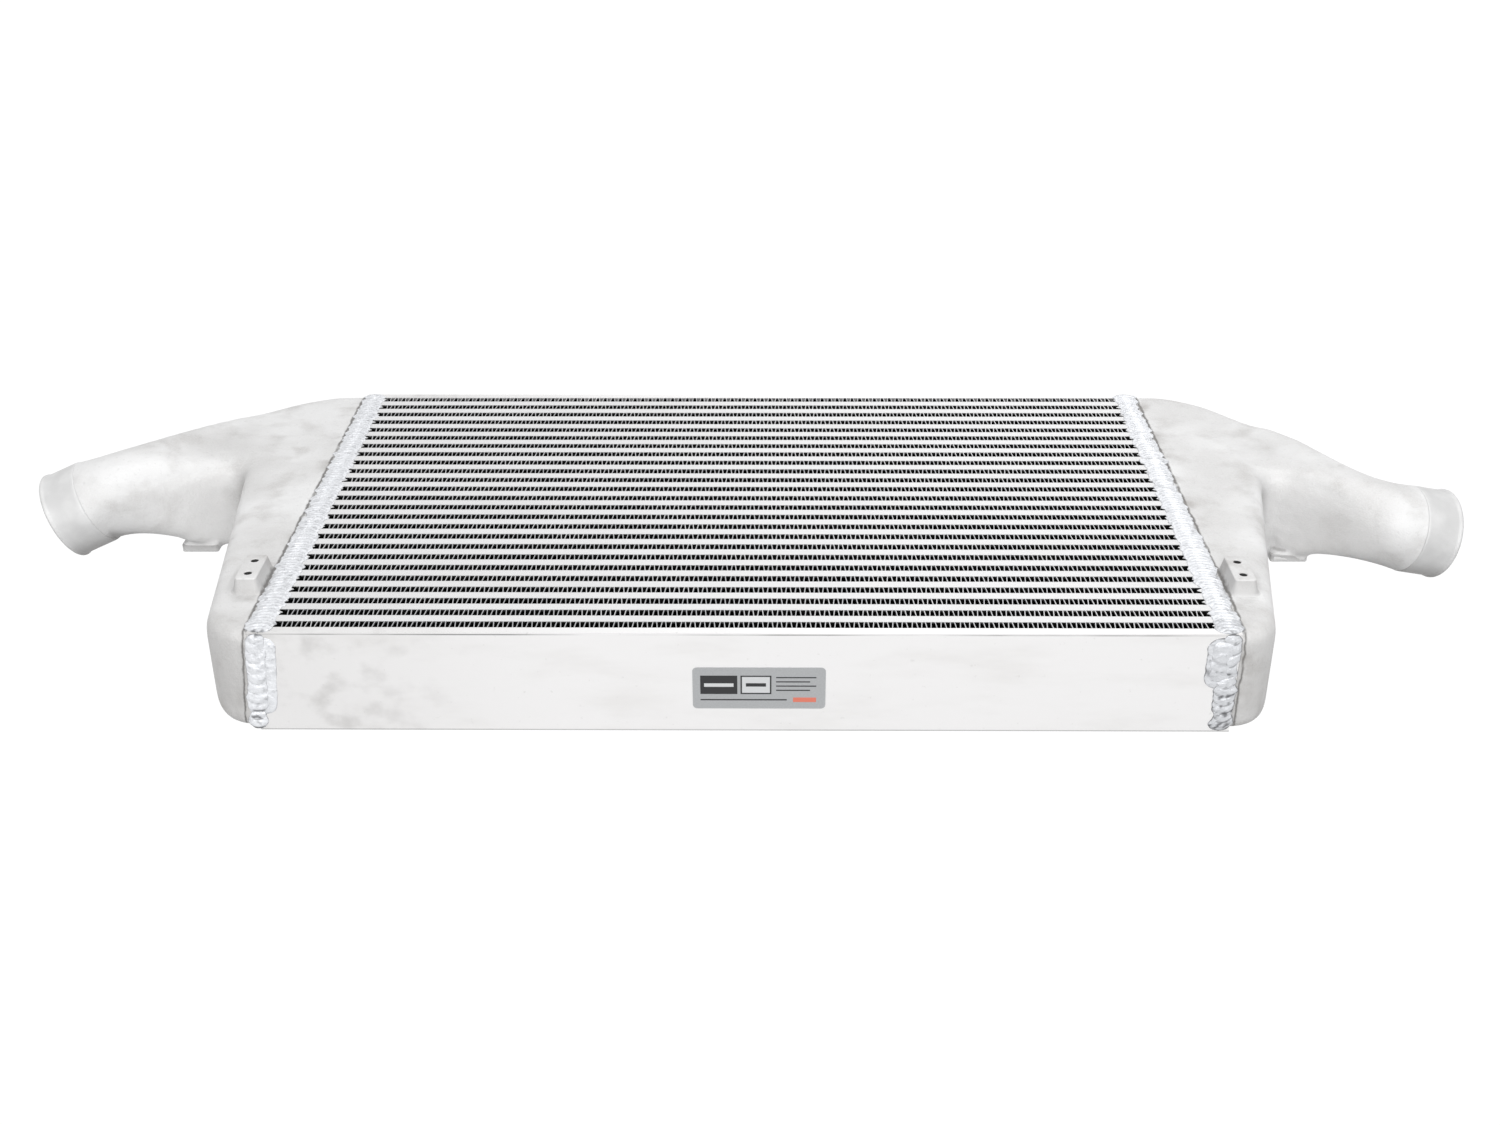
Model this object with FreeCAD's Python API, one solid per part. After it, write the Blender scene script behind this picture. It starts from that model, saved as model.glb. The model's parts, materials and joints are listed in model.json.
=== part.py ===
# Front-mounted air-to-air intercooler: a brazed bar-and-plate core between two cast end tanks.
# It is modelled lying on the back face of its core, as it would lie on a bench.
# Frame: origin at the centre of the back face of the charge tube next behind the middle of the
# core, +X to the right along the charge air, +Y away from the front side plate across the
# stack of layers, +Z up out of the core's face.
# Lengths are millimetres.
import FreeCAD, Part
import math
import os

# Core stack, counted along Y
fin_rows = 25
fin_height = 7.8
tube_height = 7.7
side_plate_thickness = 7.2
# Core length between the closing bars, and its thickness along the cooling air
fin_length = 600.0
core_thickness = 73.5
closing_bar_width = 17.0
closing_bar_nose = 5.0
# Brazed sheet metal
parting_sheet = 0.6
face_bar_width = 6.0
fin_wall_count = 24
fin_recess = 0.3
fin_sheet = 0.6
turbulator_wall_count = 5
turbulator_sheet = 0.45
# Cast end tanks
cast_wall = 4.0
edge_round = 9.0
crease_turn = 4.0
horn_root_run = 14.0
back_corner_share = 0.65
horn_spans = 8
outside_steps = 5
inside_steps = 2
# Round hose outlets
pipe_od = 65.0
collar_length = 26.0
lip_height = 1.1
lip_width = 3.0
lip_chamfer = 0.9
# Right tank: its plan, the lead of its horn and the place of its mouth. The reach is measured
# from the seam, and the horn and the lug stand at a share of it. The turn of a plan corner takes
# up a share of the straight run from there to the seam.
right_front_bulge = 23.5
right_front_turn_share = 0.975
right_horn_share = 0.36
right_horn_front = 48.0
right_back_angle = 53.0
right_back_turn_share = 0.63
right_horn_settle_share = 0.8
right_horn_lift = 5.0
right_lug_share = 0.494
right_outlet_reach = 202.5
right_outlet_y = 22.5
right_outlet_z = 33.8
right_outlet_yaw = 7.7
right_outlet_dip = 12.7
# Left tank
left_front_bulge = 31.0
left_front_turn_share = 0.92
left_horn_share = 0.339
left_horn_front = 62.0
left_back_angle = 39.6
left_back_turn_share = 0.56
left_horn_settle_share = 0.9
left_horn_lift = 0.0
left_lug_share = 0.545
left_outlet_reach = 203.6
left_outlet_y = 36.2
left_outlet_z = 40.5
left_outlet_yaw = -7.5
left_outlet_dip = 22.9
# Bracket boss on each tank, with two tapped holes
boss_length = 34.0
boss_width = 14.0
boss_height = 11.0
boss_draft = 3.5
boss_seam_gap = 6.0
boss_front_gap = 52.0
boss_hole_spacing = 17.8
tapped_hole = 5.0
tapped_depth = 11.0
# Foot lug under each horn, with one tapped hole
lug_length = 28.0
lug_depth = 24.0
lug_height = 7.0
lug_post_height = 16.0
lug_forward = 8.0
lug_hole_depth = 11.0
# Weld beads between core and tanks
weld_width = 11.0
weld_crown = 2.0
weld_on_tank = 1.5
# Rating label on the front side plate
label_width = 86.0
label_height = 31.0
label_thickness = 0.3
label_offset = 10.0
label_drop = 4.0
label_round = 3.0
# How far a cutting shape runs past what it cuts, and what counts as no length at all
cut_overrun = 8.0
no_length = 0.01

pitch = fin_height + tube_height
tube_count = fin_rows - 1
stack_depth = fin_rows * fin_height + tube_count * tube_height
core_depth = stack_depth + 2 * side_plate_thickness
half_depth = core_depth / 2
core_length = fin_length + 2 * closing_bar_width
seam_x = core_length / 2
stack_front = -stack_depth / 2


def vector(x, y, z):
    return FreeCAD.Vector(x, y, z)


def box(x_low, x_high, y_low, y_high, z_low, z_high):
    size = (x_high - x_low, y_high - y_low, z_high - z_low)
    return Part.makeBox(*size, vector(x_low, y_low, z_low))


def flat(points):
    return Part.Face(Part.makePolygon(points + points[:1]))


def prism(points, direction):
    # A flat outline pushed along a direction.
    return flat(points).extrude(direction)


def zigzag(length, height, sheet, wall_count):
    # The section of a corrugated strip: one edge runs out, the other one back. Its sheet is
    # measured across the height, so that the crests just touch both neighbours.
    step = length / wall_count
    swing = (height - sheet) / 2
    line = [(i * step - length / 2, swing if i % 2 else -swing) for i in range(wall_count + 1)]
    upper = [(along, across + sheet / 2) for along, across in line]
    lower = [(along, across - sheet / 2) for along, across in reversed(line)]
    return upper + lower


def fin_row(index):
    # Ambient fins: a folded strip between two parting sheets, open to the cooling air along Z.
    middle = stack_front + index * pitch + fin_height / 2
    section = zigzag(fin_length, fin_height, fin_sheet, fin_wall_count)
    points = [vector(x, middle + y, fin_recess) for x, y in section]
    return prism(points, vector(0, 0, core_thickness - 2 * fin_recess))


def tube_middle(index):
    return stack_front + fin_height + index * pitch + tube_height / 2


def charge_tube(index):
    # Two parting sheets brazed to two long face bars: a flat tube for the charge air.
    middle = tube_middle(index)
    low, high = middle - tube_height / 2, middle + tube_height / 2
    body = box(-seam_x, seam_x, low, high, 0, core_thickness)
    passage = box(-seam_x, seam_x, low + parting_sheet, high - parting_sheet,
                  face_bar_width, core_thickness - face_bar_width)
    return body.cut(passage)


def turbulator(index):
    # Folded strip inside a charge tube, open along X.
    width = core_thickness - 2 * face_bar_width
    height = tube_height - 2 * parting_sheet
    section = zigzag(width, height, turbulator_sheet, turbulator_wall_count)
    points = [vector(-seam_x, tube_middle(index) + across, core_thickness / 2 + along)
              for along, across in section]
    return prism(points, vector(core_length, 0, 0))


def closing_bar(index, side):
    # Bar that closes one end of a fin row, with a pointed nose towards the fins.
    low = stack_front + index * pitch
    middle, high = low + fin_height / 2, low + fin_height
    nose, shoulder, end = fin_length / 2, fin_length / 2 + closing_bar_nose, seam_x
    outline = [(end, low), (end, high), (shoulder, high), (nose, middle), (shoulder, low)]
    points = [vector(side * x, y, 0) for x, y in outline]
    return prism(points, vector(0, 0, core_thickness))


def side_plate(side):
    inner, outer = side * stack_depth / 2, side * half_depth
    return box(-seam_x, seam_x, min(inner, outer), max(inner, outer), 0, core_thickness)


def rounded_outline(corners, turns):
    # A closed plan outline: straight lines between corners, and an arc at each corner that begins
    # and ends its turn's length away from it.
    edges = []
    ends = []
    count = len(corners)
    for i in range(count):
        corner, run = corners[i], turns[i]
        back = (corners[i - 1] - corner).normalize()
        ahead = (corners[(i + 1) % count] - corner).normalize()
        if run == 0:
            ends.append((corner, corner))
            continue
        half_angle = back.getAngle(ahead) / 2
        radius = run * math.tan(half_angle)
        start, stop = corner + back * run, corner + ahead * run
        inward = (back + ahead).normalize()
        centre = corner + inward * (radius / math.sin(half_angle))
        edges.append(Part.Arc(start, centre - inward * radius, stop).toShape())
        ends.append((start, stop))
    for i in range(count):
        edges.append(Part.makeLine(ends[i - 1][1], ends[i][0]))
    return Part.Wire(Part.__sortEdges__(edges))


class Tank:
    # One cast tank, worked out for the right-hand end: X grows outward from the seam.
    def __init__(self, front_bulge, front_turn, horn_share, horn_front, back_angle, back_turn,
                 horn_settle, horn_lift, lug_share, reach, outlet_y, outlet_z, yaw, dip):
        self.front_bulge = front_bulge
        self.front_turn = front_turn
        self.horn_front = horn_front
        self.back_angle = math.radians(back_angle)
        self.back_turn = back_turn
        self.horn_settle = horn_settle
        self.horn_lift = horn_lift
        self.lug_x = seam_x + lug_share * reach
        self.mouth = vector(seam_x + reach, outlet_y, outlet_z)
        level = math.cos(math.radians(dip))
        self.axis = vector(level * math.cos(math.radians(yaw)),
                           level * math.sin(math.radians(yaw)), -math.sin(math.radians(dip)))
        self.crease_x = seam_x + horn_share * reach
        self.root_x = self.crease_x + horn_root_run
        self.neck = self.mouth - self.axis * collar_length

    def plan(self, seam_run, root_run):
        # Plan outline from the seam to the root of the horn, anticlockwise from the front.
        back_run = (self.crease_x - seam_x) * back_corner_share
        back_corner_x = seam_x + back_run
        root = self.root_x + root_run
        root_back = half_depth - (root - back_corner_x) * math.tan(self.back_angle)
        start = seam_x - seam_run
        corners = [vector(start, -half_depth, 0), vector(seam_x + self.front_bulge, -half_depth, 0),
                   vector(self.crease_x, self.horn_front, 0), vector(root, self.horn_front, 0),
                   vector(root, root_back, 0), vector(back_corner_x, half_depth, 0),
                   vector(start, half_depth, 0)]
        return rounded_outline(corners, [0, self.front_bulge * self.front_turn, crease_turn, 0, 0,
                                         back_run * self.back_turn, 0])

    def plenum(self, inset):
        # The box of the tank: the plan pushed up through the core's thickness with its long
        # edges rounded. With an inset it is the cavity, which runs out through the seam.
        if inset:
            wire = self.plan(cut_overrun + inset, inset).makeOffset2D(-inset)
        else:
            wire = self.plan(0, 0)
        start, end = wire.BoundBox.XMin, wire.BoundBox.XMax
        low, height = inset, core_thickness - 2 * inset
        wire.translate(vector(0, 0, low))
        solid = Part.Face(wire).extrude(vector(0, 0, height))
        edges = []
        for edge in solid.Edges:
            bounds = edge.BoundBox
            level = bounds.ZLength < no_length
            at_seam = bounds.XMax - start < no_length
            at_root = end - bounds.XMin < no_length
            if level and not at_seam and not at_root:
                edges.append(edge)
        if inset:
            return solid.makeChamfer(edge_round - inset, edges)
        return solid.makeFillet(edge_round, edges)

    def root_bounds(self, solid):
        # The flat face that the horn grows from is the outermost one square to X.
        upright = [face for face in solid.Faces if face.BoundBox.XLength < no_length]
        return max(upright, key=lambda face: face.CenterOfMass.x).BoundBox

    def horn(self, solid, inset, steps):
        # From the plenum's open end to the round collar along a curved centre line, which is
        # lifted on its way. The section has turned round by horn_settle of the run.
        root = self.root_bounds(solid)
        centre = vector(root.XMin, (root.YMin + root.YMax) / 2, (root.ZMin + root.ZMax) / 2)
        root_way = vector(math.cos(self.back_angle / 2), -math.sin(self.back_angle / 2), 0)
        handle = (self.neck - centre).Length / 3
        lift = vector(0, 0, self.horn_lift)
        curve = Part.BezierCurve()
        curve.setPoles([centre, centre + root_way * handle + lift,
                        self.neck - self.axis * handle, self.neck])
        pipe = pipe_od - 2 * inset
        rings = []
        for i in range(horn_spans + 1):
            t = i / horn_spans
            eased = min(t / self.horn_settle, 1)
            blend = eased * eased * (3 - 2 * eased)
            normal = self.axis if i == horn_spans else vector(1, 0, 0)
            wide = root.YLength + (pipe - root.YLength) * blend
            high = root.ZLength + (pipe - root.ZLength) * blend
            corner = edge_round - inset + (pipe / 2 - edge_round + inset) * blend
            rings.append(section_points(curve.value(t), normal, wide, high, corner, steps))
        return skinned(rings)


def skinned(rings):
    # A solid between rings of points: flat triangles from ring to ring and a flat cap on each end.
    faces = [flat(rings[0]), flat(rings[-1])]
    for ring, following in zip(rings, rings[1:]):
        for i in range(len(ring)):
            faces.append(flat([ring[i - 1], ring[i], following[i]]))
            faces.append(flat([ring[i - 1], following[i], following[i - 1]]))
    return Part.makeSolid(Part.makeShell(faces))


def section_points(centre, normal, wide, high, corner, steps):
    # A rounded rectangle square to the centre line, each corner turned in a few flats.
    # With its corners at half its width it is round.
    across = vector(0, 0, 1).cross(normal).normalize()
    up = normal.cross(across)
    points = []
    for quarter in range(4):
        hub_a = (wide / 2 - corner) * (1 if quarter in (0, 3) else -1)
        hub_b = (high / 2 - corner) * (1 if quarter in (0, 1) else -1)
        for step in range(steps + 1):
            inner = quarter_share(step, steps)
            angle = math.radians(90 * (quarter + inner))
            points.append(centre + across * (hub_a + corner * math.cos(angle))
                          + up * (hub_b + corner * math.sin(angle)))
    return points


def quarter_share(step, steps):
    # Places round a quarter turn. They stop short of its ends, so that two quarters of a
    # circle leave a short flat between them and every section has as many sides.
    return (step + 0.5) / (steps + 1)


def drafted_block(x_mid, y_mid, width, length, low, high, draft):
    # A block whose top measures width by length and whose sides lean out towards its base.
    wires = []
    for level, grow in ((low, draft), (high, 0)):
        half_w, half_l = width / 2 + grow, length / 2 + grow
        points = [vector(x_mid + sx * half_w, y_mid + sy * half_l, level)
                  for sx, sy in ((-1, -1), (1, -1), (1, 1), (-1, 1), (-1, -1))]
        wires.append(Part.makePolygon(points))
    return Part.makeLoft(wires, True, True)


def boss_place():
    return seam_x + boss_seam_gap + boss_width / 2, -half_depth + boss_front_gap + boss_length / 2


def bracket_boss():
    x_mid, y_mid = boss_place()
    return drafted_block(x_mid, y_mid, boss_width, boss_length, core_thickness - cast_wall / 2,
                         core_thickness + boss_height, boss_draft)


def boss_holes():
    x_mid, y_mid = boss_place()
    top = core_thickness + boss_height
    return [Part.makeCylinder(tapped_hole / 2, tapped_depth,
                              vector(x_mid, y_mid + side * boss_hole_spacing / 2, top - tapped_depth))
            for side in (-1, 1)]


def lug_place(tank):
    return tank.lug_x, tank.horn_front - lug_forward + lug_depth / 2


def foot_lug(tank):
    # The lug stands forward of the horn's front wall. Its post meets the horn's floor, and a
    # pillar round the tapped hole keeps the hole out of the air passage.
    x_mid, y_mid = lug_place(tank)
    x_low, x_high, y_high = x_mid - lug_length / 2, x_mid + lug_length / 2, y_mid + lug_depth / 2
    foot = box(x_low, x_high, y_mid - lug_depth / 2, y_high, 0, lug_height)
    post = box(x_low, x_high, tank.horn_front + cast_wall, y_high, 0, lug_post_height)
    pillar = Part.makeCylinder(tapped_hole / 2 + cast_wall, lug_post_height, vector(x_mid, y_mid, 0))
    return foot.fuse([post, pillar])


def lug_hole(tank):
    x_mid, y_mid = lug_place(tank)
    return Part.makeCylinder(tapped_hole / 2, lug_hole_depth, vector(x_mid, y_mid, 0))


def collar(tank):
    # Turned hose collar with a rounded lip at its mouth.
    pipe = Part.makeCylinder(pipe_od / 2, collar_length, tank.neck, tank.axis)
    lip_start = tank.mouth - tank.axis * lip_width
    lip = Part.makeCylinder(pipe_od / 2 + lip_height, lip_width, lip_start, tank.axis)
    rims = [edge for edge in lip.Edges if edge.isClosed()]
    return pipe.fuse(lip.makeChamfer(lip_chamfer, rims))


def bore(tank):
    length = collar_length + cut_overrun
    return Part.makeCylinder(pipe_od / 2 - cast_wall, length, tank.neck, tank.axis)


def end_tank(tank):
    # One hollow casting: plenum, horn, collar, bracket boss and foot lug.
    plenum, hollow = tank.plenum(0), tank.plenum(cast_wall)
    outside = plenum.fuse([tank.horn(plenum, 0, outside_steps), collar(tank), bracket_boss()])
    inside = hollow.fuse([tank.horn(hollow, cast_wall, inside_steps), bore(tank)])
    casting = outside.cut(inside).fuse(foot_lug(tank))
    return casting.cut(boss_holes() + [lug_hole(tank)]).removeSplitter()


def weld_bead(side):
    # Bead along three sides of the seam, as a shallow crown over the closing bars. The fourth
    # side, which the part lies on, is ground flush.
    stop = vector(seam_x + weld_on_tank, 0, 0)
    start = stop - vector(weld_width, 0, 0)
    crown = (start + stop) / 2 + vector(0, 0, weld_crown)
    outline = [Part.Arc(start, crown, stop).toShape(), Part.makeLine(stop, start)]
    section = Part.Face(Part.Wire(outline))
    reach = half_depth + weld_crown
    top = section.copy()
    top.translate(vector(0, -reach, core_thickness))
    bead = top.extrude(vector(0, 2 * reach, 0))
    for way in (-1, 1):
        edge = section.copy()
        edge.rotate(vector(0, 0, 0), vector(1, 0, 0), -way * 90)
        edge.translate(vector(0, way * half_depth, 0))
        bead = bead.fuse(edge.extrude(vector(0, 0, core_thickness + weld_crown)))
    return bead if side > 0 else mirrored(bead)


def label():
    # Thin printed plate stuck to the front side plate.
    middle = core_thickness / 2 - label_drop
    plate = box(label_offset - label_width / 2, label_offset + label_width / 2,
                -half_depth - label_thickness, -half_depth,
                middle - label_height / 2, middle + label_height / 2)
    corners = [edge for edge in plate.Edges
               if edge.BoundBox.XLength < no_length and edge.BoundBox.ZLength < no_length]
    return plate.makeFillet(label_round, corners)


def mirrored(shape):
    return shape.mirror(vector(0, 0, 0), vector(1, 0, 0))


def export(shape, name):
    # Everything is drawn about the middle of the core and then moved onto the frame's origin.
    shape.translate(vector(0, -tube_middle(tube_count // 2), 0))
    shape.exportStep("parts/" + name + ".step")
    print(name, "valid" if shape.isValid() else "INVALID", len(shape.Solids), "solids",
          round(shape.Volume / 1000, 1), "cm3")


os.makedirs("parts", exist_ok=True)
right_tank = Tank(right_front_bulge, right_front_turn_share, right_horn_share, right_horn_front,
                  right_back_angle, right_back_turn_share, right_horn_settle_share,
                  right_horn_lift, right_lug_share, right_outlet_reach, right_outlet_y,
                  right_outlet_z, right_outlet_yaw, right_outlet_dip)
left_tank = Tank(left_front_bulge, left_front_turn_share, left_horn_share, left_horn_front,
                 left_back_angle, left_back_turn_share, left_horn_settle_share,
                 left_horn_lift, left_lug_share, left_outlet_reach, left_outlet_y,
                 left_outlet_z, left_outlet_yaw, left_outlet_dip)
export(end_tank(right_tank), "end_tank_right")
export(mirrored(end_tank(left_tank)), "end_tank_left")
export(side_plate(-1), "side_plate_front")
export(side_plate(1), "side_plate_back")
for row in range(fin_rows):
    export(fin_row(row), f"fin_row_{row + 1:02d}")
for tube in range(tube_count):
    export(charge_tube(tube), f"charge_tube_{tube + 1:02d}")
export(Part.makeCompound([turbulator(tube) for tube in range(tube_count)]), "turbulators")
for side, name in ((1, "right"), (-1, "left")):
    bars = [closing_bar(row, side) for row in range(fin_rows)]
    export(Part.makeCompound(bars), "closing_bars_" + name)
    export(weld_bead(side), "weld_bead_" + name)
export(label(), "label_plate")
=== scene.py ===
# %% [markdown]
# An air-to-air intercooler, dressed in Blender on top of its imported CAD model. The CAD nodes give
# every size and place. This lesson adds what they leave out: close fins, the soft skin of a sand
# casting, turned hose collars, tapped holes, rippled welds and the finish of each metal. A finish
# is a set of shader nodes, a shape is a numpy surface, and both are introduced where first used.
# Lengths are in metres. The frame has +X to the right, +Y away from the camera and +Z up.

# %% Load the frame
import bpy
import bmesh
import json
import math
import numpy as np
from mathutils import Matrix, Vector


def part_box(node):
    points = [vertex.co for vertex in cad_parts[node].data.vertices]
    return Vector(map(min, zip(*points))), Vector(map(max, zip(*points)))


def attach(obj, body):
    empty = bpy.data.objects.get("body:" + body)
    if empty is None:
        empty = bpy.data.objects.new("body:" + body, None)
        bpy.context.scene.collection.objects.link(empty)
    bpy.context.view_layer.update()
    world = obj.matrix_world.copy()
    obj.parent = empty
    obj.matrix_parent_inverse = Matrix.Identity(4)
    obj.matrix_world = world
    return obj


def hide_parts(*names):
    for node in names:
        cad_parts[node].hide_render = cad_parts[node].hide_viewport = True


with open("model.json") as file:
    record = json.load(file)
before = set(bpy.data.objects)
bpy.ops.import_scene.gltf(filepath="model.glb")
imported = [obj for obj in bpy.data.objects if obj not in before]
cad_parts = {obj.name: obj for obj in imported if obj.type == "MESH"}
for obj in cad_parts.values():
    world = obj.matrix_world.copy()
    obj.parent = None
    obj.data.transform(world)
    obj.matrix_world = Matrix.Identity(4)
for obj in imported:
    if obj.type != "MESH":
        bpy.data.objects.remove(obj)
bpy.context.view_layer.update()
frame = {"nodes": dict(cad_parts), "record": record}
nodes = frame["nodes"]
mounts = {mount["name"]: mount for mount in frame["record"]["mounts"]}
MM = 0.001
plate_low, plate_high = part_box("side_plate_front")
SEAM = plate_high.x  # where the core ends and the tanks begin, at +X and -X
FRONT, BACK = plate_low.y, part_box("side_plate_back")[1].y
TOP = plate_high.z
CORE_MIDDLE = (plate_low.z + plate_high.z) / 2
print("nodes:", len(nodes), "mounts:", sorted(mounts))

# %% [markdown]
# A surface here is a grid of points worked out by a function of two parameters. One helper turns
# such a grid into a mesh: each square of four neighbours becomes a face. A grid can be closed on
# itself in either direction, as a tube is, and one many-sided face can cap an open end. Points are
# already in place, so that every object stays at the origin.

# %% Grid to mesh
def mesh_piece(name, points, faces, smooth=True):
    """A mesh object from an array of points and a list or array of faces."""
    mesh = bpy.data.meshes.new(name)
    mesh.from_pydata(points.tolist(), [], [list(face) for face in faces])
    mesh.update()
    mesh.shade_smooth() if smooth else mesh.shade_flat()
    piece = bpy.data.objects.new(name, mesh)
    bpy.context.scene.collection.objects.link(piece)
    return piece


def grid_faces(rows, columns, close_rows=False, close_columns=False):
    """Squares of a rows by columns grid, counted row by row: (i, j), (i, j+1), (i+1, j+1), (i+1, j)."""
    last_row = rows if close_rows else rows - 1
    last_column = columns if close_columns else columns - 1
    i, j = np.meshgrid(np.arange(last_row), np.arange(last_column), indexing="ij")
    below, right = (i + 1) % rows, (j + 1) % columns
    corners = (i * columns + j, i * columns + right, below * columns + right, below * columns + j)
    return np.stack([c.ravel() for c in corners], axis=1)


def outward(piece):
    """Turns the faces of a closed mesh outwards."""
    work = bmesh.new()
    work.from_mesh(piece.data)
    bmesh.ops.remove_doubles(work, verts=work.verts, dist=1e-7)
    bmesh.ops.recalc_face_normals(work, faces=work.faces)
    work.to_mesh(piece.data)
    work.free()
    return piece


def carry(mesh, name, values):
    """Writes one value on each point of a mesh, for its material to read."""
    data = mesh.attributes.new(name, "FLOAT", "POINT").data
    data.foreach_set("value", np.asarray(values, np.float32).ravel())


def dress(piece, finish, slot, *stands_for):
    """Gives a new piece its finish, lets it ride on the one body, and hides what it stands for."""
    piece.data.materials.clear()
    piece.data.materials.append(finish)
    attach(piece, "root")
    if stands_for:
        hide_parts(*stands_for)
    return piece


# %% [markdown]
# Metal that was cast, welded or handled is never quite even. Smooth unevenness comes from adding a
# few waves that run in random directions, each with its own phase. The seed is fixed, so that every
# run makes the same surface.

# %% Smooth unevenness
def unevenness(points, size, seed, waves=14):
    """Sum of plane waves, about as long as size, at points (n by 3); about -1 to 1."""
    chance = np.random.default_rng(seed)
    ways = chance.normal(size=(waves, 3))
    ways /= np.linalg.norm(ways, axis=1, keepdims=True)
    ways *= chance.uniform(0.6, 1.6, (waves, 1)) * 2 * math.pi / size
    phases = chance.uniform(0, 2 * math.pi, waves)
    return np.sin(points @ ways.T + phases).sum(axis=1) / math.sqrt(waves)


def smoothstep(low, high, value):
    """0 at low and 1 at high, smooth between; high may be the smaller of the two."""
    share = np.clip((value - low) / (high - low), 0, 1)
    return share * share * (3 - 2 * share)


# %% [markdown]
# The camera stands where the photographer stood. Its lens, place and turn were worked out from the
# straight edges of the core, and its angles are written as a heading, a downward pitch and a slight
# roll. Blender's camera looks along its own -Z with +Y up, so the three directions fill a matrix.

# %% Camera
def add_camera(lens, place, heading, pitch, roll):
    heading, pitch, roll = (math.radians(angle) for angle in (heading, pitch, roll))
    ahead = np.array([math.sin(heading) * math.cos(pitch), math.cos(heading) * math.cos(pitch),
                      -math.sin(pitch)])
    level = np.array([math.cos(heading), -math.sin(heading), 0.0])
    down = -np.cross(level, ahead)
    right = math.cos(roll) * level + math.sin(roll) * down
    up = np.cross(right, ahead)
    data = bpy.data.cameras.new("camera")
    data.lens = lens
    data.sensor_width = 36
    camera = bpy.data.objects.new("camera", data)
    turn = np.stack([right, up, -ahead], axis=1)
    camera.matrix_world = Matrix(turn.tolist()).to_4x4()
    camera.location = place
    bpy.context.scene.collection.objects.link(camera)
    bpy.context.scene.camera = camera
    return camera


camera = add_camera(lens=42.652, place=(0.01507, -1.18196, 0.64290),
                    heading=-0.623, pitch=27.943, roll=0.208)
bpy.context.scene.view_settings.view_transform = "Standard"
print("camera at", [round(c, 3) for c in camera.location])

# %% [markdown]
# A shader graph is easier to read as arithmetic. The class below wraps one socket and gives it the
# operators of Python, so that 1 - mask or a * b + c adds the Math nodes it needs. Every other node
# comes from one method, which sets the node's own choices first and its sockets after that.

# %% Shader arithmetic
class Wire:
    """One output socket of a material, with arithmetic."""
    def __init__(self, paint, socket):
        self.paint, self.socket = paint, socket

    def maths(self, operation, *values):
        return self.paint.node("ShaderNodeMath", {"operation": operation}, dict(enumerate(values)))

    def __add__(self, other):
        return self.maths("ADD", self, other)

    def __sub__(self, other):
        return self.maths("SUBTRACT", self, other)

    def __rsub__(self, other):
        return self.maths("SUBTRACT", other, self)

    def __mul__(self, other):
        return self.maths("MULTIPLY", self, other)

    def __truediv__(self, other):
        return self.maths("DIVIDE", self, other)

    def __abs__(self):
        return self.maths("ABSOLUTE", self)

    def lower(self, other):
        return self.maths("MINIMUM", self, other)

    def higher(self, other):
        return self.maths("MAXIMUM", self, other)

    def step(self, low, high):
        """0 below low and 1 above high, smooth between."""
        settings = {"interpolation_type": "SMOOTHSTEP"}
        return self.paint.node("ShaderNodeMapRange", settings,
                               {"Value": self, "From Min": low, "From Max": high})


class Paint:
    """A material under construction."""
    def __init__(self, name):
        self.material = bpy.data.materials.new(name)
        self.material.use_nodes = True
        self.tree = self.material.node_tree
        self.shader = self.tree.nodes["Principled BSDF"]
        self.place = self.node("ShaderNodeTexCoord", {}, {}, "Object")
        self.x, self.y, self.z = (self.node("ShaderNodeSeparateXYZ", {}, {0: self.place}, axis)
                                  for axis in "XYZ")

    def node(self, kind, settings, sockets, output=0):
        """Adds a node: its type, its settings, its sockets' values or wires, and the output used."""
        node = self.tree.nodes.new(kind)
        for name, value in settings.items():
            setattr(node, name, value)
        for name, value in sockets.items():
            if isinstance(value, Wire):
                self.tree.links.new(value.socket, node.inputs[name])
            else:
                node.inputs[name].default_value = value
        return Wire(self, node.outputs[output])

    def attribute(self, name):
        """A value that the mesh carries at each of its points."""
        return self.node("ShaderNodeAttribute", {"attribute_name": name}, {}, "Fac")

    def noise(self, size, detail=2.0, stretch=(1, 1, 1)):
        """Cloudy noise with spots about as large as size in metres, longer where stretch is high."""
        scale = [1 / (size * s) for s in stretch]
        place = self.node("ShaderNodeMapping", {}, {"Vector": self.place, "Scale": scale}, "Vector")
        return self.node("ShaderNodeTexNoise", {}, {"Vector": place, "Scale": 1.0, "Detail": detail})

    def depth_light(self, dark, bright):
        """1 at both open faces of the core and 0 inside it, by the distance from its middle."""
        return abs(self.z - CORE_MIDDLE).step(dark, bright)

    def mix(self, share, first, second):
        """A colour between two others."""
        first, second = (c if isinstance(c, Wire) else (*c, 1) for c in (first, second))
        return self.node("ShaderNodeMix", {"data_type": "RGBA"}, {0: share, 6: first, 7: second}, 2)

    def bump(self, height, distance, below=None):
        sockets = {"Height": height, "Distance": distance, "Strength": 1.0}
        if below is not None:
            sockets["Normal"] = below
        return self.node("ShaderNodeBump", {}, sockets)

    def finish(self, **sockets):
        """Sets the shader: words are its sockets, with an underscore for a space."""
        for name, value in sockets.items():
            socket = self.shader.inputs[name.replace("_", " ")]
            if isinstance(value, Wire):
                self.tree.links.new(value.socket, socket)
            else:
                socket.default_value = value
        return self.material


# %% [markdown]
# The floor and the light are those of a white studio. The floor is dark where it only sends light
# back to the part, and for what the camera and the metal see it is mostly plain white, which keeps a
# little of the shadow. The world does much the same for rays that miss the floor. Three large soft
# lamps do the rest: one overhead, a strong one from the front and a weak one from behind.

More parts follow.
